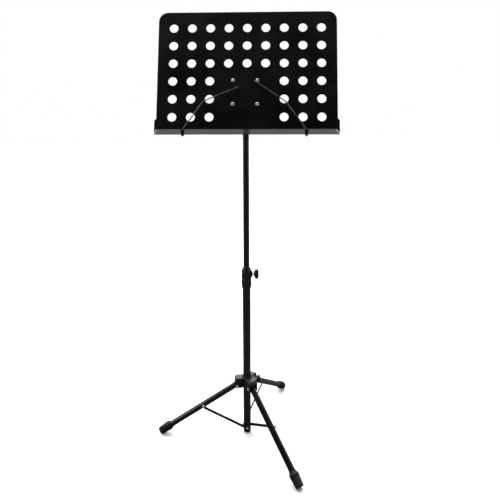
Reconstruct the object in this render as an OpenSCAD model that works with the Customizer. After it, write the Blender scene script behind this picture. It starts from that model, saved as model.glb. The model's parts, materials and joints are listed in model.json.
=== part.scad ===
// Folding music stand: perforated sheet desk, two tube column, sliding hub tripod.
// The origin is the floor point under the column. The desk faces -Y, and X is to its right.

/* [Column] */
// Outer diameter of the lower tube
tube_d = 25; // [22:0.5:30]
// Wall of every steel tube
tube_wall = 1.2; // [1:0.1:1.5]
// Height of the lower tube's open bottom end
tube_bottom = 8; // [6:1:10]
// Height of the lower tube's top end
tube_top = 560; // [460:5:680]
// Outer diameter of the sliding mast
mast_d = 18; // [16:0.5:19]
// Length of the sliding mast
mast_len = 664; // [550:5:800]
// Height of the mast's bottom end in the pose that is modelled
mast_bottom = 400; // [380:5:440]
// Radial running clearance of sliding and turning fits
run_fit = 0.08; // [0.05:0.01:0.1]

/* [Desk] */
// Width of the panel
desk_w = 484; // [400:2:560]
// Extra width on each side where the panel's edges aren't folded
desk_flare = 5; // [2:1:8]
// Height of that unfolded strip above the shelf
flare_h = 43; // [30:1:60]
// Height of the panel along its slope
desk_h = 343; // [340:1:420]
// Sheet thickness of panel, shelf and bracket
sheet = 1.2; // [1:0.1:1.6]
// Depth of the folded back edge
fold_depth = 8; // [5:1:12]
// Radius of the upper corners
corner_r = 25; // [10:1:30]
// Diameter of the holes
hole_d = 24; // [15:1:28]
// Distance from hole to hole
hole_pitch = 50; // [45:1:52]
// Distance of the top row below the panel's top edge
hole_top = 45.8; // [40:0.2:60]
// Height of the bracket's centre above the shelf
bracket_s = 116; // [105:1:125]
// How far the panel sits to the right of its bracket
desk_offset = 4.5; // [-6:0.5:6]
// Angle that the desk leans back from upright
desk_lean = 21.5; // [5:0.5:60]
// Depth of the shelf
shelf_depth = 37; // [30:1:50]
// How much narrower each front corner of the shelf is
shelf_taper = 13; // [5:1:20]

/* [Tilt head] */
// Height of the tilt axis above the mast's top end
tilt_rise = 25; // [24:0.5:30]
// Distance from the tilt axis to the back of the panel
tilt_reach = 40; // [36:1:50]
// Width of the neck's tongue
tongue_w = 14; // [12:1:18]
// Diameter of the tilt bolt
bolt_d = 6; // [5:0.5:8]
// Side of the square bracket plate
plate_w = 84; // [80:1:96]
// Side of the square on which the panel's screws sit
screw_square = 66; // [60:1:70]

/* [Page holders] */
// Diameter of the page holders' wire
wire_d = 3; // [2.5:0.1:4]
// Distance of each holder's pivot from the plane through the column
holder_x = 162; // [140:1:190]
// Distance of the pivots in front of the panel's back
holder_out = 20; // [16:1:22]
// Length of the lower stretch of wire
holder_a = 88; // [70:1:110]
// Length of the upper stretch of wire
holder_b = 103; // [70:1:110]

/* [Tripod] */
// Diameter of the leg tubes
leg_d = 20; // [16:0.5:21]
// Length from the leg's pivot to the end of its boot
leg_len = 320; // [280:1:360]
// Angle of the spread legs below level
leg_angle = 34.2; // [32:0.2:38]
// Direction of the left leg, seen from above
left_azimuth = 183.3; // [180:0.1:190]
// Distance of the leg pivots from the column's axis
pivot_r = 32.5; // [31:0.5:38]
// Distance from leg pivot to brace rivet
brace_on_leg = 138.5; // [130:0.5:145]
// Height of the brace rivets on the column
brace_z = 22; // [18:0.5:26]
// Width of the brace strips
brace_w = 10; // [8:0.5:12]
// Thickness of the brace strips
brace_t = 2; // [1.5:0.1:2.5]
// Diameter of the boots' flat ends
boot_end_d = 25; // [22:0.5:28]
// Largest diameter of the boots
boot_d = 31; // [28:0.5:34]
// Length of the boots
boot_len = 48; // [40:1:60]

/* [Hidden] */
$fn = 48;
SIDES = ["left", "front", "rear"];

eps = 0.01;
free = 0.3;                       // gap between curved faces of different bodies
snug = 0.02;                      // gap between curved faces of one body
tube_r = tube_d / 2;
mast_r = mast_d / 2;
bore_r = tube_r - tube_wall;      // inside of the lower tube
leg_r = leg_d / 2;
bolt_r = bolt_d / 2;

// Column fittings
collar_low = tube_top - 29;       // bottom of the height collar
collar_high = tube_top + 38;      // top of the height collar
collar_r = tube_r + 2.6;
screw_z = tube_top + 16.5;        // height of the clamp screw in the collar
boss_r = 10.5;
boss_x = collar_r + 4;
flange_t = 4;                     // rim of the guide bush over the tube's end
insert_r = 5;
clamp_screw_r = 3;
knob_t = 15;
knob_r = 16;
knob_gap = 4;                     // screw seen between boss and knob

// Tilt head
tilt_z = mast_bottom + mast_len + tilt_rise;
neck_low = mast_bottom + mast_len - 42;
neck_r = mast_r + 5;
neck_high = tilt_z - 20;
ear_t = 2.5;
ear_r = 12;
washer_t = 1;
ear_in = tongue_w / 2 + washer_t; // inner face of the bracket's ears
ear_out = ear_in + ear_t;
bolt_end = ear_out + 22;
neck_screw_z = neck_low + 14;
neck_boss = neck_r + 5;

// Desk, in its own frame: X right, Y up the slope, Z out of its front
front_z = tilt_reach + sheet;
fold_s = -bracket_s;
top_s = fold_s + desk_h;
row_s = top_s - hole_top;
half_w = desk_w / 2;
flare_w = half_w + desk_flare;
flare_s = fold_s + flare_h;
shelf_front = tilt_reach + shelf_depth;
hole_columns = [-4:4];
hole_rows = [0:5];
screw_head_r = 5;
nut_r = 5.2;

// Page holders: angles above level, seen from the front, and how far the wire leans to the panel
holder_angle = [[54.9, 24.8], [53, 36.2]];
holder_z = tilt_reach + holder_out;
holder_tip_z = front_z + 4;
cap_r = 4.6;
cap_t = 8;
bush_r = 3.4;
bend_reach = 6;                   // straight wire that each bend takes up, each way

// Tripod
wear = 2;                         // how much of a boot's rim the floor flattens
pivot_z = leg_len * sin(leg_angle) + boot_end_d / 2 * cos(leg_angle) - wear;
rivet_r = pivot_r + brace_on_leg * cos(leg_angle);
rivet_z = pivot_z - brace_on_leg * sin(leg_angle);
brace_len = sqrt(pow(rivet_r, 2) + pow(rivet_z - brace_z, 2));
brace_angle = atan2(rivet_z - brace_z, rivet_r);
brace_y = max(tube_r, leg_r) + 0.6;
pin_r = 2.5;
head_r = 4.2;
head_h = 1.8;
ear_gap = leg_r + 0.4;            // half the space between the hub's ears
ear_face = ear_gap + 4.8;
hub_low = pivot_z - 7;
hub_hood = pivot_z + 27;
hub_high = hub_hood + 7;
hub_r = tube_r + 6;
hub_out = pivot_r + 9.5;
hood_round = 9;                   // radius over the front of each hood
leg_stub = 6;                     // tube beyond the pivot
cavity_r = sqrt(pow(leg_stub, 2) + pow(leg_r, 2)) + 0.8;
hub_screw_z = pivot_z + 17;
hub_boss = 27;
hub_knob_r = 13.5;
hub_knob_t = 14;
hub_screw_azimuth = left_azimuth + 180;

module rod_x(r, from, to) translate([from, 0, 0]) rotate([0, 90, 0]) cylinder(r = r, h = to - from);
module rod_y(r, from, to) translate([0, from, 0]) rotate([-90, 0, 0]) cylinder(r = r, h = to - from);
module rod_z(r, from, to) translate([0, 0, from]) cylinder(r = r, h = to - from);
module hex_z(r, from, to) translate([0, 0, from]) cylinder(r = r, h = to - from, $fn = 6);
module hex_x(r, from, to) translate([from, 0, 0]) rotate([0, 90, 0]) cylinder(r = r, h = to - from, $fn = 6);
module block(low, high) translate(low) cube(high - low);

// A domed rivet head that stands on z = 0
module dome(r, h) rotate_extrude() intersection() {
    translate([0, h - (r * r + h * h) / (2 * h)]) circle(r = (r * r + h * h) / (2 * h), $fn = 96);
    square([r, h]);
}

// A round knob with a full edge, its axis on X
module knob(r, from, to) rotate([0, 90, 0]) rotate_extrude() polygon([
    [0, from], [r * 0.45, from], [r * 0.8, from + (to - from) * 0.18], [r, from + (to - from) * 0.42],
    [r, from + (to - from) * 0.62], [r * 0.8, to - (to - from) * 0.1], [r * 0.4, to], [0, to]
]);

module on_desk() translate([0, 0, tilt_z]) rotate([90 - desk_lean, 0, 0]) children();
module on_panel() on_desk() translate([desk_offset, 0, 0]) children();
module at_leg(i) rotate([0, 0, left_azimuth + 120 * i]) children();
module at_pivot(i) at_leg(i) translate([pivot_r, 0, pivot_z]) children();
module on_leg(i) at_pivot(i) rotate([0, leg_angle, 0]) children();
module on_brace(i) at_leg(i) translate([0, 0, brace_z]) rotate([0, -brace_angle, 0]) children();

// Column
module lower_tube() color("#1a1a1c") difference() {
    rod_z(tube_r, tube_bottom, tube_top);
    rod_z(bore_r, tube_bottom - 1, tube_top + 1);
    for (i = [0:2]) at_leg(i) translate([0, 0, brace_z]) rod_y(pin_r + snug, 0, tube_r + 1);
}

module base_plug() color("#161616") difference() {
    union() {
        rod_z(bore_r - snug, tube_bottom - eps, tube_bottom + 26);
        rod_z(tube_r, tube_bottom - 4, tube_bottom);
    }
    for (i = [0:2]) at_leg(i) translate([0, 0, brace_z]) rod_y(pin_r + snug, 3, tube_r + 1);
}

module brace_rivets_lower() color("#b8b8ba") for (i = [0:2]) at_leg(i) translate([0, 0, brace_z]) {
    rod_y(pin_r, 5, brace_y + brace_t + free);
    translate([0, brace_y + brace_t + free, 0]) rotate([-90, 0, 0]) dome(head_r, head_h);
}

module height_collar() color("#101011") difference() {
    union() {
        rotate_extrude() polygon([
            [0, collar_low], [collar_r - 1.6, collar_low], [collar_r - 0.2, collar_low + 5],
            [collar_r, tube_top - 4], [collar_r - 0.7, tube_top - 2], [collar_r - 0.7, tube_top - 1],
            [collar_r + 0.2, tube_top + 1], [collar_r + 0.2, collar_high - 10],
            [mast_r + 2.6, collar_high], [0, collar_high]
        ]);
        translate([0, 0, screw_z]) rod_x(boss_r, 0, boss_x);
    }
    rod_z(tube_r + snug, collar_low - 1, tube_top + flange_t);
    rod_z(mast_r + free, collar_low, collar_high + 1);
    translate([0, 0, screw_z]) rod_x(insert_r + snug, 0, boss_x + 1);
}

module guide_bush() color("#e6e6e2") difference() {
    union() {
        rod_z(bore_r - snug, tube_top - 45, tube_top + eps);
        rod_z(tube_r, tube_top, tube_top + flange_t);
    }
    rod_z(mast_r + run_fit, tube_top - 46, tube_top + flange_t + 1);
}

module collar_insert() color("#b59a4c") translate([0, 0, screw_z]) difference() {
    rod_x(insert_r, mast_r + 2.5, boss_x);
    rod_x(clamp_screw_r + run_fit, mast_r, boss_x + 1);
}

module height_knob_grip() color("#0f0f10") translate([0, 0, screw_z]) difference() {
    knob(knob_r, boss_x + knob_gap, boss_x + knob_gap + knob_t);
    rod_x(clamp_screw_r + snug, boss_x, boss_x + knob_gap + knob_t * 0.7);
}

module height_knob_screw() color("#b8b8ba") translate([0, 0, screw_z])
    rod_x(clamp_screw_r, mast_r + free, boss_x + knob_gap + knob_t * 0.7);

module mast() color("#1a1a1c") difference() {
    rod_z(mast_r, mast_bottom, mast_bottom + mast_len);
    rod_z(mast_r - tube_wall, mast_bottom - 1, mast_bottom + mast_len + 1);
}

module mast_glide() color("#e6e6e2") difference() {
    rod_z(bore_r - run_fit, mast_bottom - 4, mast_bottom + 30);
    rod_z(mast_r + snug, mast_bottom, mast_bottom + 31);
    rod_z(mast_r - tube_wall, mast_bottom - 5, mast_bottom + 1);
}

// Tilt head
module neck() color("#121213") difference() {
    union() {
        rod_z(neck_r, neck_low, neck_high);
        block([-tongue_w / 2, -ear_r, neck_high - eps], [tongue_w / 2, ear_r, tilt_z]);
        translate([0, 0, tilt_z]) rod_x(ear_r, -tongue_w / 2, tongue_w / 2);
        translate([0, 0, neck_screw_z]) rod_y(8, 0, neck_boss);
    }
    rod_z(mast_r + run_fit, neck_low - 1, mast_bottom + mast_len + 0.5);
    translate([0, 0, tilt_z]) rod_x(bolt_r + run_fit, -tongue_w, tongue_w);
    translate([0, 0, neck_screw_z]) rod_y(insert_r + snug, 0, neck_boss + 1);
}

module neck_insert() color("#b59a4c") translate([0, 0, neck_screw_z]) difference() {
    rod_y(insert_r, mast_r + 1.5, neck_boss);
    rod_y(clamp_screw_r + run_fit, mast_r, neck_boss + 1);
}

module neck_knob_grip() color("#0f0f10") translate([0, 0, neck_screw_z]) rotate([0, 0, 90]) difference() {
    knob(11, neck_boss + 3, neck_boss + 14);
    rod_x(clamp_screw_r + snug, neck_boss, neck_boss + 11);
}

module neck_knob_screw() color("#b8b8ba") translate([0, 0, neck_screw_z])
    rod_y(clamp_screw_r, mast_r + free, neck_boss + 11);

module desk_bracket() color("#161617") on_desk() difference() {
    union() {
        bracket_plate();
        for (side = [-1, 1]) scale([side, 1, 1]) {
            rod_x(ear_r, ear_in, ear_out);
            block([ear_in, -ear_r, 0], [ear_out, ear_r, tilt_reach - eps]);
        }
    }
    rod_x(bolt_r + snug, -ear_out - 1, ear_out + 1);
    for (x = [-1, 1], y = [-1, 1]) translate([x, y, 0] * screw_square / 2)
        rod_z(pin_r + snug, tilt_reach - 4, tilt_reach + 1);
}

module bracket_plate() {
    edge = plate_w / 2;
    round_r = 8;
    block([round_r - edge, -edge, tilt_reach - 2], [edge - round_r, edge, tilt_reach]);
    block([-edge, round_r - edge, tilt_reach - 2], [edge, edge - round_r, tilt_reach]);
    for (x = [-1, 1], y = [-1, 1]) translate([x, y, 0] * (edge - round_r))
        rod_z(round_r, tilt_reach - 2, tilt_reach);
}

module tilt_bolt() color("#b8b8ba") on_desk() {
    rod_x(bolt_r, -ear_out, bolt_end);
    hex_x(5.6, -ear_out - 4, -ear_out);
}

module tilt_washers() color("#e6e6e2") on_desk() for (side = [-1, 1]) difference() {
    rod_x(9, min(side * tongue_w / 2, side * ear_in) + 0.02, max(side * tongue_w / 2, side * ear_in) - 0.02);
    rod_x(bolt_r + snug, -ear_out, ear_out);
}

module tilt_knob_grip() color("#0f0f10") on_desk() difference() {
    union() {
        rod_x(10, ear_out + 0.5, bolt_end + 6);
        hull() for (side = [-1, 1]) translate([0, side * 20, 0]) rod_x(5, ear_out + 9, bolt_end + 4, $fn = 32);
    }
    rod_x(insert_r + snug, ear_out, ear_out + 14);
    rod_x(bolt_r + free, ear_out, bolt_end + 1);
}

module tilt_knob_insert() color("#b59a4c") on_desk() difference() {
    rod_x(insert_r, ear_out + 0.5, ear_out + 14);
    rod_x(bolt_r + run_fit, ear_out, ear_out + 15);
}

// Desk
module panel_outline(inset) {
    polygon([
        [-half_w + inset, flare_s - desk_flare], [half_w - inset, flare_s - desk_flare],
        [half_w - inset, top_s - corner_r], [-half_w + inset, top_s - corner_r]
    ]);
    polygon([
        [-half_w + corner_r, flare_s], [half_w - corner_r, flare_s],
        [half_w - corner_r, top_s - inset], [-half_w + corner_r, top_s - inset]
    ]);
    for (side = [-1, 1]) translate([side * (half_w - corner_r), top_s - corner_r]) circle(r = corner_r - inset);
}

module panel_foot() polygon([
    [-flare_w, fold_s + sheet], [flare_w, fold_s + sheet], [flare_w, flare_s - desk_flare],
    [half_w, flare_s], [-half_w, flare_s], [-flare_w, flare_s - desk_flare]
]);

module desk_panel() color("#0c0c0e") on_panel() difference() {
    union() {
        translate([0, 0, tilt_reach]) linear_extrude(sheet) {
            panel_outline(0);
            panel_foot();
        }
        translate([0, 0, front_z - fold_depth]) linear_extrude(fold_depth) difference() {
            panel_outline(0);
            panel_outline(sheet);
            translate([-desk_w, flare_s - 2 * desk_w]) square([2 * desk_w, 2 * desk_w]);
        }
    }
    for (row = hole_rows, column = hole_columns) if (row < 3 || abs(column) > 1)
        translate([column * hole_pitch, row_s - row * hole_pitch, 0])
            rod_z(hole_d / 2, tilt_reach - 1, front_z + 1);
    for (x = [-1, 1], y = [-1, 1]) translate([x, y, 0] * screw_square / 2 - [desk_offset, 0, 0])
        rod_z(pin_r + snug, tilt_reach - 1, front_z + 1);
}

module desk_shelf() color("#1c1c1e") on_panel() difference() {
    union() {
        translate([0, fold_s + sheet, 0]) rotate([90, 0, 0]) linear_extrude(sheet) {
            polygon([
                [-flare_w, tilt_reach - sheet], [flare_w, tilt_reach - sheet], [flare_w, front_z],
                [flare_w - shelf_taper, shelf_front - 6], [flare_w - shelf_taper - 6, shelf_front],
                [shelf_taper + 6 - flare_w, shelf_front], [shelf_taper - flare_w, shelf_front - 6],
                [-flare_w, front_z]
            ]);
            for (side = [-1, 1]) translate([side * (flare_w - shelf_taper - 6), shelf_front - 6]) circle(r = 6);
        }
        block([-half_w + fold_depth, fold_s + sheet - eps, tilt_reach - sheet],
              [half_w - fold_depth, fold_s + 16, tilt_reach]);
    }
    for (side = [-1, 1]) translate([side * holder_x - desk_offset, fold_s, holder_z])
        rotate([-90, 0, 0]) rod_z(bush_r + snug, -1, sheet + 1);
}

module bracket_screws() color("#c4c4c6") on_desk() for (x = [-1, 1], y = [-1, 1])
    translate([x, y, 0] * screw_square / 2) {
        rod_z(pin_r, tilt_reach - 7, front_z + eps);
        translate([0, 0, front_z]) dome(screw_head_r, 2.4);
    }

module bracket_nuts() color("#b8b8ba") on_desk() for (x = [-1, 1], y = [-1, 1])
    translate([x, y, 0] * screw_square / 2) difference() {
        hex_z(nut_r, tilt_reach - 6, tilt_reach - 2);
        rod_z(pin_r + snug, tilt_reach - 8, tilt_reach);
    }

// Page holders
function unit(v) = v / norm(v);

// The corners of the wire: under the shelf, lower bend, middle bend and tip
function holder_corners(side, a, b) = let (
    low = fold_s - 12, knee = fold_s + 14,
    mid = [-side * holder_a * cos(a), knee + holder_a * sin(a)],
    tip = [mid[0] - side * holder_b * cos(b), mid[1] + holder_b * sin(b)],
    lean = (holder_tip_z - holder_z) / 2
) [
    [0, low, holder_z], [0, knee, holder_z],
    [mid[0], mid[1], holder_z + lean], [tip[0], tip[1], holder_tip_z]
];

// Points round corner i, from a bend_reach before it to a bend_reach after it
function bend(corners, i) = let (
    before = corners[i] + unit(corners[i - 1] - corners[i]) * bend_reach,
    after = corners[i] + unit(corners[i + 1] - corners[i]) * bend_reach
) [for (t = [0:0.2:1]) before * pow(1 - t, 2) + corners[i] * 2 * t * (1 - t) + after * pow(t, 2)];

module wire(path, r) {
    sides = 12;
    count = len(path);
    rings = [for (i = [0:count - 1]) let (
        along = unit(path[min(i + 1, count - 1)] - path[max(i - 1, 0)]),
        out = unit(cross(along, [0, 0, 1])), up = cross(out, along)
    ) for (k = [0:sides - 1]) path[i] + r * (out * cos(360 * k / sides) + up * sin(360 * k / sides))];
    polyhedron(rings, concat(
        [[for (k = [0:sides - 1]) k]],
        [for (i = [0:count - 2], k = [0:sides - 1]) let (next = (k + 1) % sides)
            [i * sides + k, (i + 1) * sides + k, (i + 1) * sides + next, i * sides + next]],
        [[for (k = [sides - 1:-1:0]) (count - 1) * sides + k]]
    ));
}

module holder(side, angles) color("#3c3c3e") on_desk() translate([side * holder_x, 0, 0]) {
    corners = holder_corners(side, angles[0], angles[1]);
    wire(concat([corners[0]], bend(corners, 1), bend(corners, 2), [corners[3]]), wire_d / 2);
}

module holder_cap(side) color("#141415") on_desk() translate([side * holder_x, fold_s - 2, holder_z])
    rotate([90, 0, 0]) difference() {
        rod_z(cap_r, 0, cap_t);
        rod_z(wire_d / 2 + snug, -1, cap_t + 1);
    }

module holder_bush(side) color("#141415") on_desk() translate([side * holder_x, fold_s, holder_z])
    rotate([90, 0, 0]) difference() {
        union() {
            rod_z(bush_r, -sheet, 1);
            rod_z(5, 0, 1.7);
            rod_z(5, -sheet - 1.5, -sheet);
        }
        rod_z(wire_d / 2 + run_fit, -sheet - 2, 3);
    }

// Tripod
module hub() color("#131314") difference() {
    union() {
        rod_z(hub_r, hub_low - 1.5, hub_high);
        for (i = [0:2]) at_leg(i) {
            translate([0, ear_face, 0]) rotate([90, 0, 0]) linear_extrude(2 * ear_face) polygon(concat(
                [[0, hub_low], [hub_out, hub_low]],
                [for (a = [0:15:90]) [hub_out, hub_hood] + hood_round * [cos(a) - 1, sin(a) - 1]],
                [[0, hub_hood]]
            ));
        }
        rotate([0, 0, hub_screw_azimuth]) translate([0, 0, hub_screw_z]) rod_x(9, 0, hub_boss);
    }
    rod_z(tube_r + run_fit, hub_low - 3, hub_high + 1);
    for (i = [0:2]) at_pivot(i) {
        block([-cavity_r, -ear_gap, -hub_low], [hub_out, ear_gap, cavity_r]);
        rod_y(pin_r + snug, -ear_face - 1, ear_face + 1);
    }
    rotate([0, 0, hub_screw_azimuth]) translate([0, 0, hub_screw_z]) rod_x(insert_r + snug, 0, hub_boss + 1);
}

module hub_insert() color("#b59a4c") rotate([0, 0, hub_screw_azimuth]) translate([0, 0, hub_screw_z])
    difference() {
        rod_x(insert_r, tube_r + 1.5, hub_boss);
        rod_x(clamp_screw_r + run_fit, tube_r, hub_boss + 1);
    }

module hub_knob_grip() color("#0f0f10") rotate([0, 0, hub_screw_azimuth]) translate([0, 0, hub_screw_z])
    difference() {
        knob(hub_knob_r, hub_boss + knob_gap, hub_boss + knob_gap + hub_knob_t);
        rod_x(clamp_screw_r + snug, hub_boss, hub_boss + knob_gap + hub_knob_t * 0.7);
    }

module hub_knob_screw() color("#b8b8ba") rotate([0, 0, hub_screw_azimuth]) translate([0, 0, hub_screw_z])
    rod_x(clamp_screw_r, tube_r + free, hub_boss + knob_gap + hub_knob_t * 0.7);

module leg_rivets() color("#c4c4c6") for (i = [0:2]) at_pivot(i) {
    rod_y(pin_r, -ear_face - eps, ear_face + eps);
    for (turn = [-90, 90]) rotate([turn, 0, 0]) translate([0, 0, ear_face]) dome(head_r + 0.6, head_h);
}

module leg(i) color("#1a1a1c") on_leg(i) difference() {
    rod_x(leg_r, -leg_stub, leg_len - 9);
    rod_x(leg_r - tube_wall, -leg_stub - 1, leg_len);
    rod_y(pin_r + 0.8 + snug, -leg_r, leg_r);
}

module leg_bush(i) color("#e6e6e2") on_leg(i) difference() {
    rod_y(pin_r + 0.8, -leg_r + 0.4, leg_r - 0.4);
    rod_y(pin_r + run_fit, -leg_r, leg_r);
}

module boot(i) color("#0d0d0d") difference() {
    on_leg(i) difference() {
        translate([leg_len - boot_len, 0, 0]) rotate([0, 90, 0]) rotate_extrude() polygon([
            [0, 0], [leg_r + 1.3, 0], [leg_r + 1.7, 3], [boot_d / 2 - 1.6, 8], [boot_d / 2, 13],
            [boot_d / 2 - 0.2, 19], [boot_end_d / 2 + 0.6, boot_len - 2], [boot_end_d / 2, boot_len],
            [0, boot_len]
        ]);
        rod_x(leg_r + snug, leg_len - boot_len - 1, leg_len - 9);
    }
    block([-2 * leg_len, -2 * leg_len, -50], [2 * leg_len, 2 * leg_len, 0]);
}

module brace(i) color("#151516") on_brace(i) difference() {
    union() {
        rod_y(brace_w / 2, brace_y, brace_y + brace_t);
        translate([brace_len, 0, 0]) rod_y(brace_w / 2, brace_y, brace_y + brace_t);
        block([0, brace_y, -brace_w / 2], [brace_len, brace_y + brace_t, brace_w / 2]);
    }
    rod_y(pin_r + run_fit, brace_y - 1, brace_y + brace_t + 1);
    translate([brace_len, 0, 0]) rod_y(pin_r + snug, brace_y - 1, brace_y + brace_t + 1);
}

module brace_rivet(i) color("#b8b8ba") on_brace(i) translate([brace_len, 0, 0]) {
    rod_y(pin_r, leg_r + free, brace_y + brace_t + eps);
    translate([0, brace_y + brace_t, 0]) rotate([-90, 0, 0]) dome(head_r, head_h);
}

module brace_spacer(i) color("#b8b8ba") on_brace(i) translate([brace_len, 0, 0]) difference() {
    rod_y(brace_w / 2 - 0.5, leg_r + free, brace_y);
    rod_y(pin_r + snug, leg_r, brace_y + 1);
}

lower_tube();
base_plug();
brace_rivets_lower();
height_collar();
guide_bush();
collar_insert();
height_knob_grip();
height_knob_screw();
mast();
mast_glide();
neck();
neck_insert();
neck_knob_grip();
neck_knob_screw();
desk_bracket();
tilt_bolt();
tilt_washers();
tilt_knob_grip();
tilt_knob_insert();
desk_panel();
desk_shelf();
bracket_screws();
bracket_nuts();
holder(-1, holder_angle[0]);  // holder_left
holder(1, holder_angle[1]);  // holder_right
holder_cap(-1);  // holder_cap_left
holder_cap(1);  // holder_cap_right
holder_bush(-1);  // holder_bush_left
holder_bush(1);  // holder_bush_right
hub();
hub_insert();
hub_knob_grip();
hub_knob_screw();
leg_rivets();
for (i = [0:2]) {
    leg(i);
    leg_bush(i);
    boot(i);
    brace(i);
    brace_rivet(i);
    brace_spacer(i);
}
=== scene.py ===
"""A folding music stand: perforated desk, two tube column and sliding hub tripod, in metres."""
import json
import math

import bmesh
import bpy
from mathutils import Euler, Matrix, Vector


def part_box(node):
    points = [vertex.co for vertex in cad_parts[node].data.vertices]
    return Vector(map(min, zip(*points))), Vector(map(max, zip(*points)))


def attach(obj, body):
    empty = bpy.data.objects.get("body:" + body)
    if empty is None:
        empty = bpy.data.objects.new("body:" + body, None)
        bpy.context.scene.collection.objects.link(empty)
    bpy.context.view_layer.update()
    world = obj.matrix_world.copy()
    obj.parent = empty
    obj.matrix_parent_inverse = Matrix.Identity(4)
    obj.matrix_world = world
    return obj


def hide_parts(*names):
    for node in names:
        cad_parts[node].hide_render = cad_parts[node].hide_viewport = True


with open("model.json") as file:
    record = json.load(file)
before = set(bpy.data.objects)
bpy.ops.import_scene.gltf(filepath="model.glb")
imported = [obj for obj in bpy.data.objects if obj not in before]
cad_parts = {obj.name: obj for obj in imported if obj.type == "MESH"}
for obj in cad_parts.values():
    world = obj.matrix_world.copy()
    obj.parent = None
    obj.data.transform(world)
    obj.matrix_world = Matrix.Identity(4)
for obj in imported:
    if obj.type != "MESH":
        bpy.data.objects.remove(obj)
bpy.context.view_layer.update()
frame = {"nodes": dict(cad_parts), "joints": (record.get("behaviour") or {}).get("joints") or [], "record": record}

nodes = frame["nodes"]
joints = {joint["name"]: joint for joint in frame["joints"]}
mounts = {mount["name"]: mount for mount in frame["record"]["mounts"]}
bodies = frame["record"]["behaviour"]["bodies"]
body_of = {node: body for body, names in bodies.items() for node in names}
slot_of = {part["node"]: part["material_slot"] for part in frame["record"]["subparts"]}

MM = 0.001
SIDES = ("left", "front", "rear")
FULL_TURN = 2 * math.pi
SMOOTH_ANGLE = math.radians(38)
FLAT_ANGLE = math.radians(0.5)
SAME_POINT = 1e-6

# The tubes as the frame gives them, and sizes shared by several pieces
TUBE_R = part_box("lower_tube")[1].x
TUBE_LOW, TUBE_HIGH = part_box("lower_tube")[0].z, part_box("lower_tube")[1].z
MAST_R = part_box("mast")[1].x
MAST_LOW, MAST_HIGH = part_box("mast")[0].z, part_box("mast")[1].z
TUBE_WALL = 1.2 * MM
LEG_ANGLE = math.radians(34.2)
LEG_R = 10 * MM
PIN_HEAD_R = 4.6 * MM
PIN_HEAD_H = 1.8 * MM
PIN_R = 2.5 * MM


# ---------------------------------------------------------------- materials

def material(name, colour, roughness, metallic=0.0, **sockets):
    """A principled material whose uniform values sit on the shader's own sockets."""
    made = bpy.data.materials.new(name)
    made.use_nodes = True
    shader = made.node_tree.nodes["Principled BSDF"]
    shader.inputs["Base Color"].default_value = (*colour, 1)
    shader.inputs["Roughness"].default_value = roughness
    shader.inputs["Metallic"].default_value = metallic
    for socket, value in sockets.items():
        shader.inputs[socket.replace("_", " ")].default_value = value
    return made


def noise(made, scale, detail=3.0, stretch=(1, 1, 1)):
    """Noise in object coordinates, which may be stretched along an axis."""
    tree = made.node_tree
    place = tree.nodes.new("ShaderNodeTexCoord")
    mapping = tree.nodes.new("ShaderNodeMapping")
    mapping.inputs["Scale"].default_value = stretch
    texture = tree.nodes.new("ShaderNodeTexNoise")
    texture.inputs["Scale"].default_value = scale
    texture.inputs["Detail"].default_value = detail
    tree.links.new(place.outputs["Object"], mapping.inputs["Vector"])
    tree.links.new(mapping.outputs["Vector"], texture.inputs["Vector"])
    return texture.outputs["Fac"]


def spread(made, value, low, high, start=0.35, end=0.65):
    """Maps a noise value to the range from low to high."""
    tree = made.node_tree
    node = tree.nodes.new("ShaderNodeMapRange")
    node.inputs["From Min"].default_value = start
    node.inputs["From Max"].default_value = end
    node.inputs["To Min"].default_value = low
    node.inputs["To Max"].default_value = high
    tree.links.new(value, node.inputs["Value"])
    return node.outputs["Result"]


def vary_roughness(made, value, low, high):
    """Runs the roughness from low to high along a noise value."""
    shader = made.node_tree.nodes["Principled BSDF"]
    made.node_tree.links.new(spread(made, value, low, high), shader.inputs["Roughness"])


def vary_colour(made, value, low, high, start=0.35, end=0.65):
    """Blends the base colour from low to high along a noise value."""
    tree = made.node_tree
    ramp = tree.nodes.new("ShaderNodeValToRGB")
    ramp.color_ramp.elements[0].position = start
    ramp.color_ramp.elements[0].color = (*low, 1)
    ramp.color_ramp.elements[1].position = end
    ramp.color_ramp.elements[1].color = (*high, 1)
    tree.links.new(value, ramp.inputs["Fac"])
    tree.links.new(ramp.outputs["Color"], tree.nodes["Principled BSDF"].inputs["Base Color"])


def bumps(made, *layers):
    """Stacks bump layers, each (value, strength, distance)."""
    tree = made.node_tree
    last = None
    for value, strength, distance in layers:
        node = tree.nodes.new("ShaderNodeBump")
        node.inputs["Strength"].default_value = strength
        node.inputs["Distance"].default_value = distance
        tree.links.new(value, node.inputs["Height"])
        if last:
            tree.links.new(last.outputs["Normal"], node.inputs["Normal"])
        last = node
    tree.links.new(last.outputs["Normal"], tree.nodes["Principled BSDF"].inputs["Normal"])


def satin_powder_coat():
    """Tubes and strips: smooth black powder coat with orange peel and faint handling marks."""
    made = material("satin_powder_coat", (0.003, 0.003, 0.003), 0.3, Specular_IOR_Level=0.4)
    smears = noise(made, 38, 5, (1, 1, 0.25))
    vary_roughness(made, smears, 0.2, 0.3)
    vary_colour(made, noise(made, 21, 4), (0.002, 0.002, 0.0025), (0.005, 0.0047, 0.0045))
    bumps(made, (noise(made, 900, 2), 0.25, 0.12 * MM), (noise(made, 2600, 1), 0.12, 0.05 * MM))
    return made


def textured_powder_coat():
    """Desk: fine grained matt black powder coat with slightly rubbed patches."""
    made = material("textured_powder_coat", (0.003, 0.003, 0.003), 0.4, Specular_IOR_Level=0.25)
    vary_roughness(made, noise(made, 14, 5), 0.32, 0.44)
    vary_colour(made, noise(made, 9, 5), (0.002, 0.002, 0.002), (0.0045, 0.0045, 0.005))
    bumps(made, (noise(made, 1500, 2), 0.35, 0.12 * MM), (noise(made, 60, 2), 0.1, 0.3 * MM))
    return made


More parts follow.
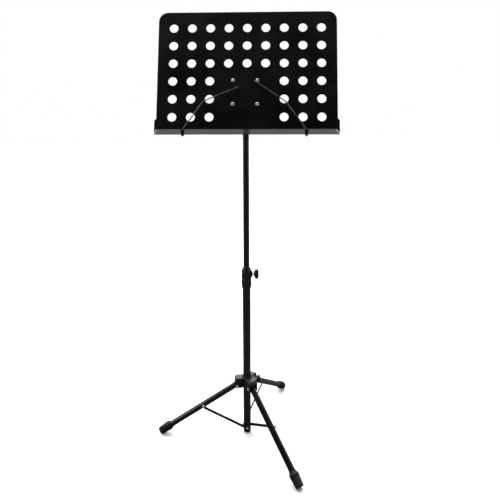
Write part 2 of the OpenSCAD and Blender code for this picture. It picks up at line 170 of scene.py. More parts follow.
def moulded_nylon():
    """Hub, collar, neck and plug: black moulded nylon with a spark-eroded grain."""
    made = material("moulded_nylon", (0.007, 0.007, 0.008), 0.4, Specular_IOR_Level=0.35)
    vary_roughness(made, noise(made, 70, 4), 0.36, 0.56)
    vary_colour(made, noise(made, 45, 4), (0.005, 0.005, 0.006), (0.012, 0.012, 0.013))
    bumps(made, (noise(made, 1300, 3), 0.3, 0.15 * MM))
    return made


def knob_plastic():
    """Knobs, caps and bushes: harder black plastic with worn, brighter high spots."""
    made = material("knob_plastic", (0.004, 0.004, 0.004), 0.3, Specular_IOR_Level=0.35)
    vary_roughness(made, noise(made, 120, 4), 0.22, 0.4)
    vary_colour(made, noise(made, 80, 3), (0.003, 0.003, 0.003), (0.007, 0.007, 0.007))
    bumps(made, (noise(made, 700, 2), 0.15, 0.08 * MM))
    return made


def boot_rubber():
    """Boots: matt black rubber with floor dust rubbed into it."""
    made = material("boot_rubber", (0.006, 0.006, 0.006), 0.65, Specular_IOR_Level=0.3)
    vary_roughness(made, noise(made, 90, 5), 0.5, 0.75)
    dust = noise(made, 60, 5)
    vary_colour(made, dust, (0.004, 0.004, 0.004), (0.014, 0.0135, 0.013), 0.45, 0.75)
    bumps(made, (noise(made, 1000, 3), 0.4, 0.15 * MM), (noise(made, 140, 2), 0.2, 0.3 * MM))
    return made


def bright_steel():
    """Rivets, screws and studs: bright zinc plate with fine turning marks."""
    made = material("bright_steel", (0.75, 0.74, 0.73), 0.3, 0.7)
    vary_roughness(made, noise(made, 300, 4), 0.24, 0.44)
    vary_colour(made, noise(made, 160, 3), (0.66, 0.65, 0.64), (0.86, 0.85, 0.83))
    bumps(made, (noise(made, 1800, 2), 0.2, 0.05 * MM))
    return made


def holder_steel():
    """Page holders: dark phosphated spring wire, drawn along its length."""
    made = material("holder_steel", (0.12, 0.12, 0.125), 0.32, 0.85)
    vary_roughness(made, noise(made, 260, 4), 0.24, 0.42)
    vary_colour(made, noise(made, 90, 4), (0.09, 0.09, 0.095), (0.17, 0.17, 0.175))
    bumps(made, (noise(made, 1500, 2), 0.2, 0.05 * MM))
    return made


def natural_nylon():
    """Bushes, glide and washers: off-white nylon."""
    made = material("natural_nylon", (0.8, 0.79, 0.75), 0.42, Subsurface_Weight=0.15)
    vary_roughness(made, noise(made, 150, 3), 0.34, 0.5)
    vary_colour(made, noise(made, 40, 3), (0.72, 0.71, 0.66), (0.85, 0.84, 0.8))
    bumps(made, (noise(made, 800, 2), 0.15, 0.08 * MM))
    return made


def turned_brass():
    """Threaded inserts."""
    made = material("turned_brass", (0.66, 0.5, 0.24), 0.28, 1.0)
    vary_roughness(made, noise(made, 400, 3), 0.2, 0.4)
    vary_colour(made, noise(made, 120, 3), (0.55, 0.4, 0.18), (0.72, 0.56, 0.28))
    bumps(made, (noise(made, 1600, 2), 0.2, 0.05 * MM))
    return made


def glossy_shelf_paint():
    """Shelf: the same black coat, polished by the books that slide on it."""
    made = material("glossy_shelf_paint", (0.012, 0.012, 0.012), 0.28, Specular_IOR_Level=1.0,
                    Coat_Weight=1.0, Coat_IOR=2.2, Coat_Roughness=0.2)
    vary_roughness(made, noise(made, 18, 5, (0.3, 1, 1)), 0.22, 0.36)
    vary_colour(made, noise(made, 12, 5), (0.012, 0.012, 0.012), (0.03, 0.029, 0.028))
    bumps(made, (noise(made, 1500, 2), 0.2, 0.08 * MM), (noise(made, 50, 2), 0.1, 0.2 * MM))
    return made


FINISH = {
    "tube_paint": satin_powder_coat(),
    "desk_paint": textured_powder_coat(),
    "black_moulding": moulded_nylon(),
    "knob_plastic": knob_plastic(),
    "boot_rubber": boot_rubber(),
    "bright_steel": bright_steel(),
    "holder_wire": holder_steel(),
    "white_nylon": natural_nylon(),
    "insert_brass": turned_brass(),
}
for node, obj in nodes.items():
    obj.data.materials.clear()
    obj.data.materials.append(FINISH[slot_of[node]])


# ---------------------------------------------------------------- mesh tools

def axes(origin, x, z):
    """A frame at origin with its Z along z and its X as near to x as it can be."""
    z = Vector(z).normalized()
    x = (Vector(x) - Vector(x).dot(z) * z).normalized()
    turn = Matrix((x, z.cross(x), z)).transposed()
    return Matrix.Translation(Vector(origin)) @ turn.to_4x4()


def settle_normals(obj):
    """Keeps the shading of flat faces flat beside their rounded edges."""
    weighted = obj.modifiers.new("flat_faces", "WEIGHTED_NORMAL")
    weighted.keep_sharp = True
    weighted.weight = 100
    bpy.context.view_layer.update()
    plain = obj.data
    evaluated = obj.evaluated_get(bpy.context.evaluated_depsgraph_get())
    baked = bpy.data.meshes.new_from_object(evaluated)
    obj.modifiers.clear()
    obj.data = baked
    bpy.data.meshes.remove(plain)
    baked.name = obj.name


def finish_piece(name, bm, node, place=None):
    """Turns a bmesh into a smooth shaded piece that replaces a CAD node and rides on its body."""
    bmesh.ops.remove_doubles(bm, verts=bm.verts, dist=SAME_POINT)
    bmesh.ops.recalc_face_normals(bm, faces=bm.faces)
    if place is not None:
        bm.transform(place)
    mesh = bpy.data.meshes.new(name)
    bm.to_mesh(mesh)
    bm.free()
    mesh.shade_smooth()
    mesh.set_sharp_from_angle(angle=SMOOTH_ANGLE)
    mesh.materials.append(FINISH[slot_of[node]])
    obj = bpy.data.objects.new(name, mesh)
    bpy.context.scene.collection.objects.link(obj)
    settle_normals(obj)
    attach(obj, body_of[node])
    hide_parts(node)
    return obj


def lathe(profile, steps=64):
    """Spins a profile of (radius, height) points about Z."""
    bm = bmesh.new()
    add_lathe(bm, profile, steps)
    return bm


def add_lathe(bm, profile, steps=64, place=None):
    """Adds a turned shape to bm, moved to place."""
    part = bmesh.new()
    ring = [part.verts.new((radius, 0, height)) for radius, height in profile]
    edges = [part.edges.new(pair) for pair in zip(ring, ring[1:])]
    bmesh.ops.spin(part, geom=ring + edges, cent=(0, 0, 0), axis=(0, 0, 1), dvec=(0, 0, 0),
                   angle=FULL_TURN, steps=steps, use_merge=True)
    bmesh.ops.remove_doubles(part, verts=part.verts, dist=SAME_POINT)
    bmesh.ops.recalc_face_normals(part, faces=part.faces)
    if place is not None:
        part.transform(place)
    join(bm, part)


def join(bm, part):
    """Adds the mesh of part to bm."""
    mesh = bpy.data.meshes.new("part")
    part.to_mesh(mesh)
    part.free()
    bm.from_mesh(mesh)
    bpy.data.meshes.remove(mesh)


def merged_copy(node):
    """A bmesh copy of a CAD node with its flat faces made whole."""
    bm = bmesh.new()
    bm.from_mesh(nodes[node].data)
    bmesh.ops.remove_doubles(bm, verts=bm.verts, dist=2 * SAME_POINT)
    bmesh.ops.dissolve_limit(bm, angle_limit=FLAT_ANGLE, verts=bm.verts, edges=bm.edges)
    return bm


def rounded(node, radius, name, segments=3, keen=32):
    """A copy of a CAD node whose edges sharper than keen degrees are rounded."""
    bm = merged_copy(node)
    sharp = [edge for edge in bm.edges
             if edge.is_manifold and edge.calc_face_angle() > math.radians(keen)]
    bmesh.ops.bevel(bm, geom=sharp, offset=radius, segments=segments, profile=0.5,
                    affect="EDGES", material=-1, clamp_overlap=True)
    return finish_piece(name, bm, node)


def round_edge(profile, radius, count=4):
    """Rounds every inner corner of a lathe profile by up to radius."""
    points = bent([Vector(point) for point in profile], radius, count, 0.45)
    return [(point.x, point.y) for point in points]


def bent(corners, reach, count=10, share=0.48):
    """Points along corners, each inner corner curved over at most a share of its sides."""
    out = [corners[0]]
    for before, corner, after in zip(corners, corners[1:], corners[2:]):
        room = min(reach, (corner - before).length * share, (after - corner).length * share)
        start = corner + (before - corner).normalized() * room
        end = corner + (after - corner).normalized() * room
        for step in range(count + 1):
            t = step / count
            out.append(start * (1 - t) ** 2 + corner * 2 * t * (1 - t) + end * t ** 2)
    out.append(corners[-1])
    return out


def joint_place(name):
    """A joint's frame: Z runs along its axis."""
    return axes(joints[name]["pos_m"], (0, 0, 1), joints[name]["axis"])


def reach_along(node, place):
    """The lowest and highest point of a CAD node along place's Z, and its radius about it."""
    back = place.inverted()
    reach = [back @ vert.co for vert in nodes[node].data.vertices]
    heights = [point.z for point in reach]
    return min(heights), max(heights), max(math.hypot(point.x, point.y) for point in reach)


def mm(points):
    """Points given in millimetres, in metres."""
    return [(a * MM, b * MM) for a, b in points]


# ---------------------------------------------------------------- tubes

def tube(node, radius, low, high, place=None):
    """An open steel tube with softly broken end edges."""
    inner = radius - TUBE_WALL
    outline = [(inner, low), (radius, low), (radius, high), (inner, high), (inner, low)]
    bm = lathe(round_edge(outline, 0.45 * MM, 3), 72)
    finish_piece(node + "_coated", bm, node, place)


tube("lower_tube", TUBE_R, TUBE_LOW, TUBE_HIGH)
tube("mast", MAST_R, MAST_LOW, MAST_HIGH)


def leg_place(side):
    """A leg's frame: Z runs from its pivot to its boot, Y is the pivot's axis."""
    joint = joints[f"leg_{side}_fold"]
    pivot, hinge = Vector(joint["pos_m"]), Vector(joint["axis"])
    outward = hinge.cross(Vector((0, 0, 1)))
    along = outward * math.cos(LEG_ANGLE) - Vector((0, 0, math.sin(LEG_ANGLE)))
    return axes(pivot, outward, along)


LEG_STUB = 6 * MM
LEG_END = 311 * MM
LEG_LEN = 320 * MM
for side in SIDES:
    tube(f"leg_{side}", LEG_R, -LEG_STUB, LEG_END, leg_place(side))


# ---------------------------------------------------------------- boots

BOOT_LEN = 48
RIB_START, RIB_END = 8, 46


def boot(side):
    """A rubber boot: neck bead, swelling with grip ribs, grooved tread and a flattened rim."""
    profile = mm([
        (10.05, 1.2), (10.6, 0.1), (11.3, 0.4), (11.7, 1.4), (11.5, 2.6), (11.4, 3.6), (12.4, 5.2),
        (14.0, 7.6), (15.1, 10.2), (15.45, 12.8), (15.3, 16), (15.0, 19.5), (14.7, 21.5),
        (14.1, 22.0), (14.0, 23.2), (14.5, 23.8), (14.2, 28.6), (13.6, 29.1), (13.5, 30.3),
        (14.0, 30.9), (13.7, 35.7), (13.1, 36.2), (13.0, 37.4), (13.5, 38.0), (13.2, 42.8),
        (12.9, 46.6), (12.2, 47.8), (11.0, 48.0), (9.2, 48.0), (8.8, 47.2), (0, 47.2),
    ])
    bm = lathe(round_edge(profile, 0.4 * MM, 2), 96)
    for vert in bm.verts:
        radius = math.hypot(vert.co.x, vert.co.y)
        height = vert.co.z / MM
        if radius > 12.6 * MM and RIB_START < height < RIB_END:
            turn = math.atan2(vert.co.y, vert.co.x)
            fade = min(1, (height - RIB_START) / 5, (RIB_END - height) / 3)
            lobe = 0.5 - 0.5 * math.cos(12 * turn)
            shrink = 1 - 0.035 * fade * (1 - lobe) ** 3
            vert.co.x *= shrink
            vert.co.y *= shrink
    place = leg_place(side) @ Matrix.Translation((0, 0, LEG_LEN - BOOT_LEN * MM))
    bm.transform(place)
    # The rim is flat where the boot stands on the floor
    for vert in bm.verts:
        vert.co.z = max(vert.co.z, 0)
    finish_piece(f"rubber_boot_{side}", bm, f"boot_{side}")


for side in SIDES:
    boot(side)


# ---------------------------------------------------------------- knobs

KNOB_BORE_R = 3.05 * MM
LOBE_DEPTH = 0.05
LOBE_START = 0.62


def knob(node, screw, joint, lobes):
    """A lobed clamp knob, dished on its face and necked behind, on its stud."""
    place = joint_place(joint)
    low, high, radius = reach_along(node, place)
    # From the neck to the middle of the face, as shares of the radius and the depth
    shape = [
        (0.42, 0.0), (0.46, 0.05), (0.72, 0.13), (0.90, 0.26), (0.99, 0.44), (1.0, 0.58),
        (0.97, 0.72), (0.88, 0.86), (0.72, 0.95), (0.56, 0.985), (0.48, 0.985), (0.44, 0.95),
        (0.38, 0.94), (0.20, 0.96), (0.0, 0.97),
    ]
    profile = [(KNOB_BORE_R, low)]
    profile += [(out * radius, low + up * (high - low)) for out, up in shape]
    bm = lathe(round_edge(profile, 0.9 * MM, 3), 96)
    for vert in bm.verts:
        out = math.hypot(vert.co.x, vert.co.y)
        share = max(0, (out / radius - LOBE_START) / (1 - LOBE_START))
        turn = math.atan2(vert.co.y, vert.co.x)
        shrink = 1 - LOBE_DEPTH * share * (0.5 + 0.5 * math.cos(lobes * turn)) ** 1.5
        vert.co.x *= shrink
        vert.co.y *= shrink
    finish_piece(node + "_lobed", bm, node, place)
    stud(screw, place)


def stud(node, place):
    """A threaded stud: a shank with turned thread crests."""
    low, high, radius = reach_along(node, place)
    pitch = 1.0 * MM
    count = int((high - low) / pitch) - 1
    profile = [(0, low), (radius * 0.8, low)]
    for turn in range(count):
        start = low + 0.3 * MM + turn * pitch
        profile += [(radius * 0.87, start), (radius, start + 0.4 * MM), (radius, start + 0.6 * MM)]
    profile += [(radius * 0.87, high - 0.2 * MM), (0, high)]
    finish_piece(node + "_threaded", lathe(profile, 40), node, place)


knob("height_knob_grip", "height_knob_screw", "height_knob_turn", 8)
knob("neck_knob_grip", "neck_knob_screw", "neck_knob_turn", 6)
knob("hub_knob_grip", "hub_knob_screw", "hub_knob_turn", 7)


# ---------------------------------------------------------------- rivets and screws

HEAD_SINK = 0.05 * MM


def domed_head(radius, height, flange=0.35 * MM):
    """The profile of a domed head that stands on height 0."""
    rim = [(0, -HEAD_SINK), (radius * 0.98, -HEAD_SINK), (radius, 0.1 * MM)]
    return rim + dome(radius, height, flange, 9)


def dome(radius, height, flange, steps):
    """The upper part of a head's profile, from the top of its flange to its middle."""
    quarter = [math.pi / 2 * step / steps for step in range(steps)]
    curve = [(radius * math.cos(a), flange + (height - flange) * math.sin(a)) for a in quarter]
    return curve + [(0, height)]


def separate_solids(node):
    """The points of each separate solid in a CAD node."""
    bm = merged_copy(node)
    found, seen = [], set()
    for vert in bm.verts:
        if vert.index in seen:
            continue
        points, queue = [], [vert]
        seen.add(vert.index)
        while queue:
            here = queue.pop()
            points.append(here.co.copy())
            for edge in here.link_edges:
                other = edge.other_vert(here)
                if other.index not in seen:
                    seen.add(other.index)
                    queue.append(other)
        found.append(points)
    bm.free()
    return found


SCREW_HEAD_R = 5.0 * MM
SCREW_HEAD_H = 2.4 * MM
SCREW_R = 2.45 * MM
RECESS_HALF = 0.62 * MM
RECESS_REACH = 2.7 * MM


def cross_screws():
    """The panel's four screws: domed heads with a cross recess, and their shanks."""
    node = "bracket_screws"
    outward = Vector(mounts["music_panel"]["axis"])
    up = Vector(mounts["music_shelf"]["axis"])
    bm = bmesh.new()
    for points in separate_solids(node):
        face = max(point.dot(outward) for point in points)
        back = min(point.dot(outward) for point in points)
        middle = sum(points, Vector()) / len(points)
        across = middle - outward * middle.dot(outward)
        shank = face - SCREW_HEAD_H - back
        profile = [(0, -shank), (SCREW_R, -shank), (SCREW_R, -HEAD_SINK),
                   (SCREW_HEAD_R - 0.1 * MM, -HEAD_SINK)]
        profile += dome(SCREW_HEAD_R, SCREW_HEAD_H, 0.3 * MM, 26)
        part = lathe(profile, 80)
        for vert in part.verts:
            near, far = sorted((abs(vert.co.x), abs(vert.co.y)))
            if vert.co.z > 0.5 * MM and near < RECESS_HALF and far < RECESS_REACH:
                vert.co.z -= 1.1 * MM * (1 - far / (3.4 * MM))
        place = axes(across + outward * (face - SCREW_HEAD_H), up, outward)
        part.transform(place @ Matrix.Rotation(0.4, 4, "Z"))
        join(bm, part)
    finish_piece("panel_screws", bm, node)


cross_screws()


def add_rivet(bm, place, length, head_radius=PIN_HEAD_R):
    """Adds a flanged domed head that stands on place, with its shank below it."""
    add_lathe(bm, domed_head(head_radius, PIN_HEAD_H), 40, place)
    add_lathe(bm, [(0, 0), (PIN_R, 0), (PIN_R, -length), (0, -length)], 32, place)


def rivet_set(node, name, rivets, both_ends):
    """Rivets, each given by its place and shank length, with a head at one end or both."""
    bm = bmesh.new()
    for place, length in rivets:
        add_rivet(bm, place, length)
        if both_ends:
            far_end = Matrix.Translation((0, 0, -length)) @ Matrix.Rotation(math.pi, 4, "X")
            add_lathe(bm, domed_head(PIN_HEAD_R, PIN_HEAD_H), 40, place @ far_end)
    finish_piece(name, bm, node)


EAR_FACE = 15.2 * MM
FOOT_FACE = 15.4 * MM
FOOT_SHANK = 10.4 * MM
hub_rivets, foot_rivets = [], []
for side in SIDES:
    pivot = Vector(joints[f"leg_{side}_fold"]["pos_m"])
    hinge = Vector(joints[f"leg_{side}_fold"]["axis"])
    hub_rivets.append((axes(pivot + hinge * EAR_FACE, (0, 0, 1), hinge), 2 * EAR_FACE))
    foot = Vector(joints[f"brace_{side}_fold"]["pos_m"])
    out = -Vector(joints[f"brace_{side}_fold"]["axis"])
    foot_rivets.append((axes(foot + out * FOOT_FACE, (0, 0, 1), out), FOOT_SHANK))
rivet_set("leg_rivets", "hub_rivets", hub_rivets, both_ends=True)
rivet_set("brace_rivets_lower", "column_rivets", foot_rivets, both_ends=False)


# ---------------------------------------------------------------- braces

BRACE_IN = 13.1 * MM
BRACE_T = 2.0 * MM
BRACE_HALF = 4.8 * MM
BRACE_EYE = 5.0 * MM
BRACE_DOGLEG = 1.2 * MM
BRACE_HEAD_R = 4.2 * MM
BRACE_SHANK = 4.8 * MM


def brace(side):
    """A pressed steel strip with round ends, a short dogleg at the leg and a rolled edge."""
    joint = joints[f"brace_{side}_fold"]
    foot, hinge = Vector(joint["pos_m"]), Vector(joint["axis"])
    low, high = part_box(f"brace_rivet_{side}")
    head = (low + high) / 2
    across = -hinge
    top = head - across * (head - foot).dot(across)
    length = (top - foot).length
    place = axes(foot + across * BRACE_IN, top - foot, across)
    sideways_is_up = (place.to_3x3() @ Vector((0, 1, 0))).z > 0
    drop = -BRACE_DOGLEG if sideways_is_up else BRACE_DOGLEG
    line = [Vector((0, 0)), Vector((length - 15 * MM, drop)), Vector((length, 0))]
    bm = bmesh.new()
    outline = strip_outline(line, BRACE_HALF, BRACE_EYE)
    face = bm.faces.new([bm.verts.new((point.x, point.y, 0)) for point in outline])
    made = bmesh.ops.extrude_face_region(bm, geom=[face])
    moved = [item for item in made["geom"] if isinstance(item, bmesh.types.BMVert)]
    bmesh.ops.translate(bm, verts=moved, vec=(0, 0, BRACE_T))
    rim = [edge for edge in bm.edges if edge.calc_face_angle(0) > math.radians(70)]
    bmesh.ops.bevel(bm, geom=rim, offset=0.45 * MM, segments=2, profile=0.5,
                    affect="EDGES", material=-1)
    finish_piece(f"brace_strip_{side}", bm, f"brace_{side}", place)
    rivet = bmesh.new()
    face_place = axes(top + across * (BRACE_IN + BRACE_T), (0, 0, 1), across)
    add_rivet(rivet, face_place, BRACE_SHANK, BRACE_HEAD_R)
    finish_piece(f"brace_head_{side}", rivet, f"brace_rivet_{side}")


def strip_outline(line, half, eye):
    """Outline of a strip along a bent line, with a round eye at each end."""
    start, knee, end = line
    first, second = (knee - start).normalized(), (end - knee).normalized()
    side_a, side_b = Vector((-first.y, first.x)), Vector((-second.y, second.x))
    sideways = (side_a + side_b).normalized()
    mouth = math.asin(half / eye)
    steps = 14
    points = []
    for middle, towards, side in ((start, first, -1), (end, -second, 1)):
        turn = math.atan2(towards.y, towards.x)
        for step in range(steps + 1):
            a = turn + mouth + (FULL_TURN - 2 * mouth) * step / steps
            points.append(middle + eye * Vector((math.cos(a), math.sin(a))))
        points.append(knee + side * sideways * half)
    return points


for side in SIDES:
    brace(side)


# ---------------------------------------------------------------- height collar

COLLAR_RIBS = 20


def collar():
    """The moulded height collar: grip ribs below, seam, smooth head with its clamp boss."""
    node = "height_collar"
    low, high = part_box(node)[0].z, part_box(node)[1].z
    seam = TUBE_HIGH
    bore = TUBE_R + 0.05 * MM
    mast_bore = MAST_R + 0.35 * MM
    r = TUBE_R + 2.6 * MM
    profile = [
        (bore, low + 0.5 * MM), (TUBE_R + 0.8 * MM, low), (r - 1.5 * MM, low + 0.2 * MM),
        (r - 0.3 * MM, low + 4.5 * MM), (r, low + 7 * MM), (r, seam - 3.5 * MM),
        (r - 0.8 * MM, seam - 2.4 * MM), (r - 0.9 * MM, seam - 1.0 * MM),
        (r + 0.15 * MM, seam + 0.2 * MM), (r + 0.2 * MM, seam + 24 * MM),
        (r - 0.6 * MM, high - 10 * MM), (MAST_R + 3.2 * MM, high - 1.2 * MM),
        (MAST_R + 1.6 * MM, high), (mast_bore, high - 0.3 * MM), (mast_bore, seam + 5 * MM),
        (bore, seam + 4 * MM), (bore, low + 0.5 * MM),
    ]
    bm = lathe(round_edge(profile, 0.8 * MM, 3), 96)
    boss_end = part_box(node)[1].x
    seat = 5.03 * MM
    boss = [(seat, boss_end), (8.4 * MM, boss_end), (9.6 * MM, boss_end - 1.0 * MM),
            (10.4 * MM, boss_end - 4.5 * MM), (10.5 * MM, MAST_R + 4 * MM),
            (seat, MAST_R + 3 * MM), (seat, boss_end)]
    add_lathe(bm, round_edge(boss, 0.7 * MM, 3), 64, joint_place("height_knob_turn"))
    for k in range(COLLAR_RIBS):
        rib = bmesh.new()
        bmesh.ops.create_cube(rib, size=1)
        bmesh.ops.scale(rib, verts=rib.verts, vec=(1.2 * MM, 1.5 * MM, 15 * MM))
        bmesh.ops.translate(rib, verts=rib.verts, vec=(r - 0.25 * MM, 0, low + 15.5 * MM))
        bmesh.ops.bevel(rib, geom=rib.edges, offset=0.34 * MM, segments=2, profile=0.5,
                        affect="EDGES", material=-1)
        turn = Matrix.Rotation(FULL_TURN * k / COLLAR_RIBS, 3, "Z")
        bmesh.ops.rotate(rib, verts=rib.verts, cent=(0, 0, 0), matrix=turn)
        join(bm, rib)
    finish_piece("height_collar_moulding", bm, node)


collar()


# ---------------------------------------------------------------- hub

# In millimetres: how far out, high and wide each hood is, and the cavity that its leg turns in
HOOD_OUT = 42.0
HOOD_TOP = 215.2
HOOD_LOW = 181.2
HOOD_HALF = 15.2
HOOD_GAP = 10.4
HOOD_ROUND = 12.0
HOOD_START = 16.0
HOOD_SHOULDER = 3.2
NOSE_ROUND = 1.8
CAVITY_BACK = 20.6
CAVITY_TOP = 200.0


def hood_section(reach):
    """The hood's outline across, reach from the column: round shoulders and a slot for the leg."""
    drop = max(0.0, reach - (HOOD_OUT - HOOD_ROUND))
    top = HOOD_TOP - HOOD_ROUND + math.sqrt(max(0.0, HOOD_ROUND ** 2 - drop ** 2))
    nose = max(0.0, reach - (HOOD_OUT - NOSE_ROUND))
    half = HOOD_HALF - NOSE_ROUND + math.sqrt(max(0.0, NOSE_ROUND ** 2 - nose ** 2))
    slot_top = CAVITY_TOP if reach > CAVITY_BACK else HOOD_LOW + 0.1
    points = [(-half, HOOD_LOW)]
    for centre, start in ((HOOD_SHOULDER - half, math.pi), (half - HOOD_SHOULDER, math.pi / 2)):
        for step in range(7):
            a = start - math.pi / 2 * step / 6
            points.append((centre + HOOD_SHOULDER * math.cos(a),
                           top - HOOD_SHOULDER + HOOD_SHOULDER * math.sin(a)))
    points += [(half, HOOD_LOW), (HOOD_GAP, HOOD_LOW), (HOOD_GAP, slot_top),
               (-HOOD_GAP, slot_top), (-HOOD_GAP, HOOD_LOW)]
    return points


def hood(bm, azimuth):
    """One hood over a leg's pivot."""
    brow = HOOD_OUT - HOOD_ROUND
    reaches = [HOOD_START, CAVITY_BACK, CAVITY_BACK + 0.01, brow]
    reaches += [brow + HOOD_ROUND * math.sin(math.pi / 2 * step / 12) for step in range(1, 13)]
    part = bmesh.new()
    rings = [[part.verts.new((reach * MM, y * MM, z * MM)) for y, z in hood_section(reach)]
             for reach in reaches]
    for ring, after in zip(rings, rings[1:]):
        for k in range(len(ring)):
            n = (k + 1) % len(ring)
            part.faces.new((ring[k], ring[n], after[n], after[k]))
    part.faces.new(rings[0])
    part.faces.new(rings[-1])
    bmesh.ops.recalc_face_normals(part, faces=part.faces)
    part.transform(Matrix.Rotation(azimuth, 4, "Z"))
    join(bm, part)


def hub():
    """The moulded hub: sleeve with a conical neck, three hoods and the clamp boss."""
    low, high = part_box("hub")[0].z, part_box("hub")[1].z
    bore = TUBE_R + 0.08 * MM
    sleeve = [
        (bore, low + 0.4 * MM), (bore + 0.8 * MM, low), (17.6 * MM, low),
        (18.4 * MM, low + 0.8 * MM), (18.4 * MM, high - 7.4 * MM), (16.8 * MM, high - 6.4 * MM),
        (15.0 * MM, high - 0.8 * MM), (14.2 * MM, high), (bore + 0.6 * MM, high),
        (bore, high - 0.6 * MM), (bore, low + 0.4 * MM),
    ]
    bm = lathe(round_edge(sleeve, 0.7 * MM, 3), 96)
    for side in SIDES:
        pivot = Vector(joints[f"leg_{side}_fold"]["pos_m"])
        hood(bm, math.atan2(pivot.y, pivot.x))
    low_corner, high_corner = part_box("hub_insert")
    centre = (low_corner + high_corner) / 2
    out = Vector((centre.x, centre.y, 0)).normalized()
    boss = mm([(5.05, 27), (7.6, 27), (8.6, 26.2), (9.0, 24), (9.0, 16), (5.05, 16), (5.05, 27)])
    add_lathe(bm, round_edge(boss, 0.5 * MM, 3), 56, axes((0, 0, centre.z), (0, 0, 1), out))
    finish_piece("hub_moulding", bm, "hub")


hub()


# ---------------------------------------------------------------- softened castings and pressings

for node, name, radius, segments, keen in (
    ("neck", "neck_casting", 1.0, 3, 32),
    ("desk_bracket", "bracket_pressing", 0.5, 3, 32),
    ("base_plug", "column_plug", 0.7, 3, 32),
    ("tilt_knob_grip", "wing_knob", 1.2, 3, 50),
    ("tilt_bolt", "tilt_bolt_turned", 0.35, 3, 32),
    ("bracket_nuts", "panel_nuts", 0.3, 2, 32),
    ("holder_cap_left", "wire_cap_left", 1.6, 4, 32),
    ("holder_cap_right", "wire_cap_right", 1.6, 4, 32),
    ("holder_bush_left", "wire_bush_left", 0.3, 2, 32),
    ("holder_bush_right", "wire_bush_right", 0.3, 2, 32),
    ("mast_glide", "mast_glide_moulding", 0.5, 3, 32),
    ("guide_bush", "guide_bush_moulding", 0.4, 3, 32),
    ("desk_panel", "desk_sheet", 0.4, 2, 32),
):
    rounded(node, radius * MM, name, segments, keen)
shelf = rounded("desk_shelf", 0.5 * MM, "shelf_sheet")
shelf.data.materials.clear()
shelf.data.materials.append(glossy_shelf_paint())


# ---------------------------------------------------------------- page holders

WIRE_R = 1.5 * MM
WIRE_TAIL = 11.9 * MM
WIRE_UPRIGHT = 6 * MM
WIRE_BEND = 6 * MM
WIRE_LEAN = 7.4 * MM
ARM_START = 14 * MM
LOWER_ARM = 88 * MM
UPPER_ARM = 103 * MM


def wire_piece(name, points, node):
    """A round wire along points, with hemispherical ends."""
    curve = bpy.data.curves.new(name + "_path", "CURVE")
    curve.dimensions = "3D"
    curve.bevel_depth = WIRE_R
    curve.bevel_resolution = 4
    curve.use_fill_caps = True
    spline = curve.splines.new("POLY")
    spline.points.add(len(points) - 1)
    for point, place in zip(spline.points, points):
        point.co = (*place, 1)
    holder = bpy.data.objects.new(name + "_path", curve)
    bpy.context.scene.collection.objects.link(holder)
    bpy.context.view_layer.update()
    evaluated = holder.evaluated_get(bpy.context.evaluated_depsgraph_get())
    mesh = bpy.data.meshes.new_from_object(evaluated)
    bm = bmesh.new()
    bm.from_mesh(mesh)
    bpy.data.meshes.remove(mesh)
    bpy.data.objects.remove(holder)
    bpy.data.curves.remove(curve)
    for end in (points[0], points[-1]):
        ball = bmesh.new()
        bmesh.ops.create_uvsphere(ball, u_segments=20, v_segments=12, radius=WIRE_R)
        bmesh.ops.translate(ball, verts=ball.verts, vec=end)
        join(bm, ball)
    finish_piece(name, bm, node)


def page_holder(side, sign, low_angle, high_angle):
    """A sprung wire arm: tail, upright through the shelf, two straight stretches."""
    up = Vector(mounts["music_shelf"]["axis"])
    out = Vector(mounts["music_panel"]["axis"])
    inward = Vector((-sign, 0, 0))
    pivot = Vector(joints[f"holder_{side}_swing"]["pos_m"])
    lean = -out * WIRE_LEAN
    a, b = math.radians(low_angle), math.radians(high_angle)
    middle = pivot + up * ARM_START + (inward * math.cos(a) + up * math.sin(a)) * LOWER_ARM + lean
    tip = middle + (inward * math.cos(b) + up * math.sin(b)) * UPPER_ARM + lean
    corners = [pivot - up * WIRE_TAIL, pivot + up * WIRE_UPRIGHT, middle, tip]
    wire_piece(f"page_wire_{side}", bent(corners, WIRE_BEND), f"holder_{side}")


page_holder("left", -1, 54.9, 24.8)
page_holder("right", 1, 53, 36.2)


# ---------------------------------------------------------------- floor, light and camera

FLOOR_HALF = 30
FLOOR_SEEN = 0.95
FLOOR_REFLECTED = 0.13


def floor():
    """A plain pale floor, which looks near white and throws little light back at the object."""
    bm = bmesh.new()
    bmesh.ops.create_grid(bm, x_segments=1, y_segments=1, size=FLOOR_HALF)
    mesh = bpy.data.meshes.new("pale_floor")
    bm.to_mesh(mesh)
    bm.free()
    obj = bpy.data.objects.new("pale_floor", mesh)
    bpy.context.scene.collection.objects.link(obj)
    made = material("pale_floor", (0.93, 0.93, 0.93), 0.9, Specular_IOR_Level=0.1)
    tree = made.node_tree
    seen = tree.nodes.new("ShaderNodeLightPath")
    tone = tree.nodes.new("ShaderNodeMix")
    tone.data_type = "RGBA"
    # A colour mix has its factor on input 0, its colours on inputs 6 and 7, its result on output 2
    tone.inputs[6].default_value = (*[FLOOR_REFLECTED] * 3, 1)
    tone.inputs[7].default_value = (*[FLOOR_SEEN] * 3, 1)
    tree.links.new(seen.outputs["Is Camera Ray"], tone.inputs[0])
    tree.links.new(tone.outputs[2], tree.nodes["Principled BSDF"].inputs["Base Color"])
    mesh.materials.append(made)


def area_light(name, place, target, size, power):
    """A soft square light that faces target."""
    light = bpy.data.lights.new(name, "AREA")
    light.shape = "SQUARE"
    light.size = size
    light.energy = power
    obj = bpy.data.objects.new(name, light)
    obj.location = place
    obj.rotation_euler = (Vector(target) - Vector(place)).to_track_quat("-Z", "Y").to_euler()
    bpy.context.scene.collection.objects.link(obj)


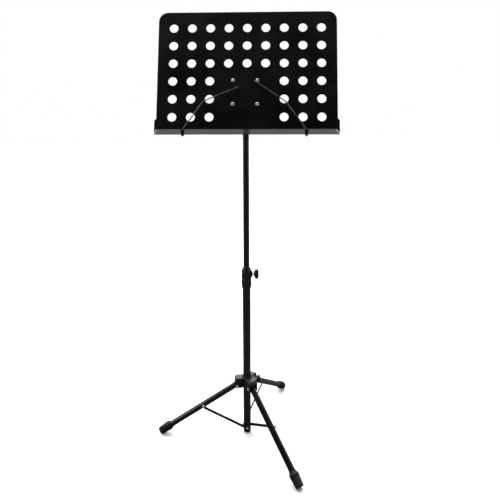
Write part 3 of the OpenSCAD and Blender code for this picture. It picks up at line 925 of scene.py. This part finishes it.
def sun_light(name, towards, strength, softness):
    """A broad light that shines towards a direction, soft over softness degrees."""
    light = bpy.data.lights.new(name, "SUN")
    light.energy = strength
    light.angle = math.radians(softness)
    obj = bpy.data.objects.new(name, light)
    obj.rotation_euler = Vector(towards).to_track_quat("-Z", "Y").to_euler()
    bpy.context.scene.collection.objects.link(obj)


def studio():
    """A white backdrop that lights the object mostly from behind: the desk's front stays dark."""
    world = bpy.data.worlds.new("studio")
    world.use_nodes = True
    tree = world.node_tree
    background = tree.nodes["Background"]
    background.inputs["Color"].default_value = (1, 1, 1, 1)
    way = tree.nodes.new("ShaderNodeTexCoord")
    split = tree.nodes.new("ShaderNodeSeparateXYZ")
    depth = tree.nodes.new("ShaderNodeMapRange")
    depth.inputs["From Min"].default_value = 0.1
    depth.inputs["From Max"].default_value = 0.7
    depth.inputs["To Min"].default_value = 0.02
    depth.inputs["To Max"].default_value = 2.8
    seen = tree.nodes.new("ShaderNodeLightPath")
    # What is seen directly is plain white, and the light it gives depends on its direction
    level = tree.nodes.new("ShaderNodeMapRange")
    level.inputs["To Max"].default_value = 1.0
    tree.links.new(way.outputs["Generated"], split.inputs["Vector"])
    tree.links.new(split.outputs["Y"], depth.inputs["Value"])
    tree.links.new(depth.outputs["Result"], level.inputs["To Min"])
    tree.links.new(seen.outputs["Is Camera Ray"], level.inputs["Value"])
    tree.links.new(level.outputs["Result"], background.inputs["Strength"])
    bpy.context.scene.world = world
    bpy.context.scene.view_settings.view_transform = "Standard"


floor()
studio()
sun_light("overhead_light", (0.2, -0.45, -1), 3.6, 80)
area_light("left_strip", (-2.2, -0.6, 1.2), (0, 0, 0.7), 0.5, 14)
area_light("right_strip", (2.0, -0.9, 1.3), (0, 0, 0.6), 0.5, 10)

VIEW_YAW = 0.0321
VIEW_PITCH = 0.2827
VIEW_ROLL = 0.0023
camera_data = bpy.data.cameras.new("camera")
camera_data.sensor_width = 36
camera_data.lens = 31.22
camera = bpy.data.objects.new("camera", camera_data)
camera.location = (0.0518, -1.2693, 1.0221)
turn = Euler((math.pi / 2 - VIEW_PITCH, 0, VIEW_YAW), "XYZ").to_matrix()
camera.rotation_euler = (turn @ Matrix.Rotation(-VIEW_ROLL, 3, "Z")).to_euler()
bpy.context.scene.collection.objects.link(camera)
bpy.context.scene.camera = camera
